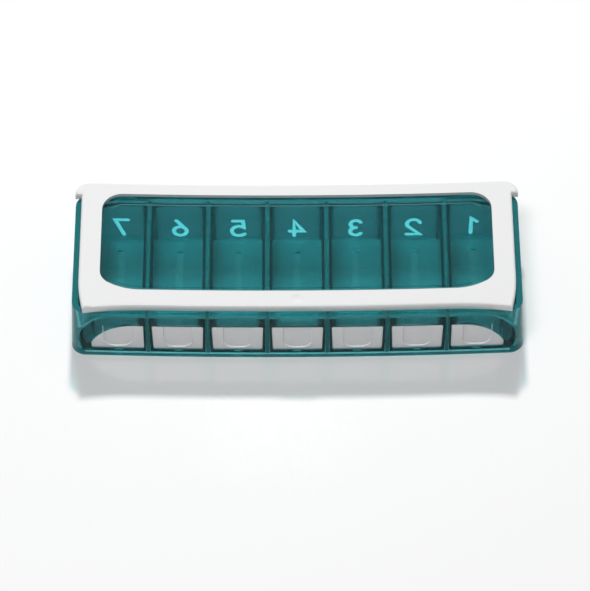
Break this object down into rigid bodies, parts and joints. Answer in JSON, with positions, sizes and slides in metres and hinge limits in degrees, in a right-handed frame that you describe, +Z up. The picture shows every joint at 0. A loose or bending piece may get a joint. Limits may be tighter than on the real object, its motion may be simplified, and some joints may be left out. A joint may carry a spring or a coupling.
{
  "type": "weekly pill organizer",
  "caption": "Long see-through pill case with a pull-out bin for each day of the week, white thumb panels and a framed lid that swings up at the back.",
  "frame": {"origin": "on the table, at the middle of the footprint's bounding box", "axes": "+X along the length, the drawers pull out towards -Y, +Z up"},
  "size_m": [0.152, 0.0582, 0.0246],
  "materials": {
    "case_teal": "clear tinted polystyrene, polished",
    "drawer_teal": "clear tinted polystyrene, polished",
    "pane_teal": "clear tinted polystyrene, polished",
    "panel_white": "satin moulded plastic",
    "lid_white": "satin moulded plastic",
    "pin_steel": "drawn wire"
  },
  "bodies": {
    "case": {"case": "case_teal"},
    "drawer_1": {"drawer_1": "drawer_teal", "drawer_panel_1": "panel_white"},
    "drawer_2": {"drawer_2": "drawer_teal", "drawer_panel_2": "panel_white"},
    "drawer_3": {"drawer_3": "drawer_teal", "drawer_panel_3": "panel_white"},
    "drawer_4": {"drawer_4": "drawer_teal", "drawer_panel_4": "panel_white"},
    "drawer_5": {"drawer_5": "drawer_teal", "drawer_panel_5": "panel_white"},
    "drawer_6": {"drawer_6": "drawer_teal", "drawer_panel_6": "panel_white"},
    "drawer_7": {"drawer_7": "drawer_teal", "drawer_panel_7": "panel_white"},
    "lid": {"lid_frame": "lid_white", "lid_pane": "pane_teal", "hinge_pin_left": "pin_steel", "hinge_pin_right": "pin_steel"}
  },
  "joints": [
    {"name": "drawer_1_slide", "type": "slide", "parent": "case", "child": "drawer_1", "axis": [0, -1, 0], "range_m": [0, 0.038]},
    {"name": "drawer_2_slide", "type": "slide", "parent": "case", "child": "drawer_2", "axis": [0, -1, 0], "range_m": [0, 0.038]},
    {"name": "drawer_3_slide", "type": "slide", "parent": "case", "child": "drawer_3", "axis": [0, -1, 0], "range_m": [0, 0.038]},
    {"name": "drawer_4_slide", "type": "slide", "parent": "case", "child": "drawer_4", "axis": [0, -1, 0], "range_m": [0, 0.038]},
    {"name": "drawer_5_slide", "type": "slide", "parent": "case", "child": "drawer_5", "axis": [0, -1, 0], "range_m": [0, 0.038]},
    {"name": "drawer_6_slide", "type": "slide", "parent": "case", "child": "drawer_6", "axis": [0, -1, 0], "range_m": [0, 0.038]},
    {"name": "drawer_7_slide", "type": "slide", "parent": "case", "child": "drawer_7", "axis": [0, -1, 0], "range_m": [0, 0.038]},
    {"name": "lid_hinge", "type": "hinge", "parent": "case", "child": "lid", "pos_m": [0, 0.02725, 0.0198], "axis": [-1, 0, 0], "range_deg": [0, 105]}
  ]
}
